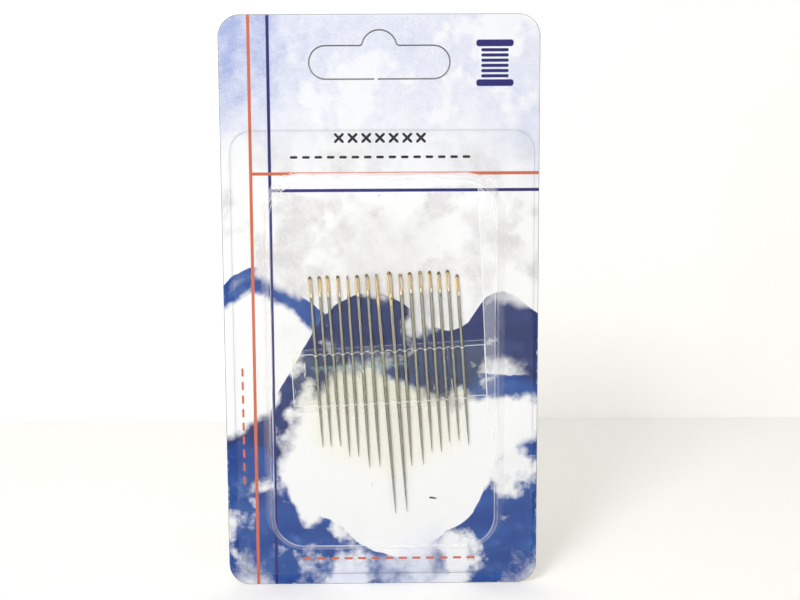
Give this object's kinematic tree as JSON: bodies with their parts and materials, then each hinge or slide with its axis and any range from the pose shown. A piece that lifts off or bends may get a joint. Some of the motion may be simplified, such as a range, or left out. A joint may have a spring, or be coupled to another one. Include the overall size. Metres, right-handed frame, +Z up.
{
  "type": "carded sewing needle pack",
  "caption": "Flat hang card with a euro slot and a clear blister over a row of hand-sewing needles held between strips of tape, for hanging on a display peg.",
  "frame": {"origin": "centre of the euro slot's hump, where a display peg carries the pack, on the card's back face", "axes": "+Z up the card, +Y out of the card's back towards the display wall, +X to the right seen from the front"},
  "size_m": [0.0724, 0.007, 0.1319],
  "materials": {
    "printed_board": "gloss-coated white board, printed in pale blue, royal blue, navy and orange",
    "clear_film": "clear thermoformed film, glossy",
    "clear_tape": "clear adhesive tape, glossy",
    "needle_steel": "nickel-plated steel wire with gold-plated eyes"
  },
  "bodies": {
    "card": {"backing_card": "printed_board", "back_tape": "clear_tape", "front_tape": "clear_tape"},
    "hang_tab": {"hang_tab": "printed_board"},
    "blister": {"blister": "clear_film"},
    "needle_01": {"needle_01": "needle_steel"},
    "needle_02": {"needle_02": "needle_steel"},
    "needle_03": {"needle_03": "needle_steel"},
    "needle_04": {"needle_04": "needle_steel"},
    "needle_05": {"needle_05": "needle_steel"},
    "needle_06": {"needle_06": "needle_steel"},
    "needle_07": {"needle_07": "needle_steel"},
    "needle_08": {"needle_08": "needle_steel"},
    "needle_09": {"needle_09": "needle_steel"},
    "needle_10": {"needle_10": "needle_steel"},
    "needle_11": {"needle_11": "needle_steel"},
    "needle_12": {"needle_12": "needle_steel"},
    "needle_13": {"needle_13": "needle_steel"},
    "needle_14": {"needle_14": "needle_steel"},
    "needle_15": {"needle_15": "needle_steel"},
    "needle_16": {"needle_16": "needle_steel"}
  },
  "joints": [
    {"name": "hang_tab_fold", "type": "hinge", "parent": "card", "child": "hang_tab", "pos_m": [0, 0, -0.0069], "axis": [-1, 0, 0], "range_deg": [0, 170]},
    {"name": "blister_peel", "type": "slide", "parent": "card", "child": "blister", "axis": [0, -1, 0], "range_m": [0, 0.03]},
    {"name": "needle_01_draw", "type": "slide", "parent": "card", "child": "needle_01", "axis": [-0.0645, 0, 0.9979], "range_m": [-0.007, 0.02]},
    {"name": "needle_02_draw", "type": "slide", "parent": "card", "child": "needle_02", "axis": [-0.0593, 0, 0.9982], "range_m": [-0.007, 0.02]},
    {"name": "needle_03_draw", "type": "slide", "parent": "card", "child": "needle_03", "axis": [-0.0671, 0, 0.9977], "range_m": [-0.007, 0.02]},
    {"name": "needle_04_draw", "type": "slide", "parent": "card", "child": "needle_04", "axis": [-0.0558, 0, 0.9984], "range_m": [-0.007, 0.02]},
    {"name": "needle_05_draw", "type": "slide", "parent": "card", "child": "needle_05", "axis": [-0.0541, 0, 0.9985], "range_m": [-0.007, 0.02]},
    {"name": "needle_06_draw", "type": "slide", "parent": "card", "child": "needle_06", "axis": [-0.0576, 0, 0.9983], "range_m": [-0.007, 0.02]},
    {"name": "needle_07_draw", "type": "slide", "parent": "card", "child": "needle_07", "axis": [-0.061, 0, 0.9981], "range_m": [-0.007, 0.02]},
    {"name": "needle_08_draw", "type": "slide", "parent": "card", "child": "needle_08", "axis": [-0.075, 0, 0.9972], "range_m": [-0.007, 0.02]},
    {"name": "needle_09_draw", "type": "slide", "parent": "card", "child": "needle_09", "axis": [-0.0689, 0, 0.9976], "range_m": [-0.007, 0.02]},
    {"name": "needle_10_draw", "type": "slide", "parent": "card", "child": "needle_10", "axis": [-0.0541, 0, 0.9985], "range_m": [-0.007, 0.02]},
    {"name": "needle_11_draw", "type": "slide", "parent": "card", "child": "needle_11", "axis": [-0.068, 0, 0.9977], "range_m": [-0.007, 0.02]},
    {"name": "needle_12_draw", "type": "slide", "parent": "card", "child": "needle_12", "axis": [-0.0637, 0, 0.998], "range_m": [-0.007, 0.02]},
    {"name": "needle_13_draw", "type": "slide", "parent": "card", "child": "needle_13", "axis": [-0.0637, 0, 0.998], "range_m": [-0.007, 0.02]},
    {"name": "needle_14_draw", "type": "slide", "parent": "card", "child": "needle_14", "axis": [-0.0637, 0, 0.998], "range_m": [-0.007, 0.02]},
    {"name": "needle_15_draw", "type": "slide", "parent": "card", "child": "needle_15", "axis": [-0.068, 0, 0.9977], "range_m": [-0.007, 0.02]},
    {"name": "needle_16_draw", "type": "slide", "parent": "card", "child": "needle_16", "axis": [-0.0698, 0, 0.9976], "range_m": [-0.007, 0.02]}
  ]
}
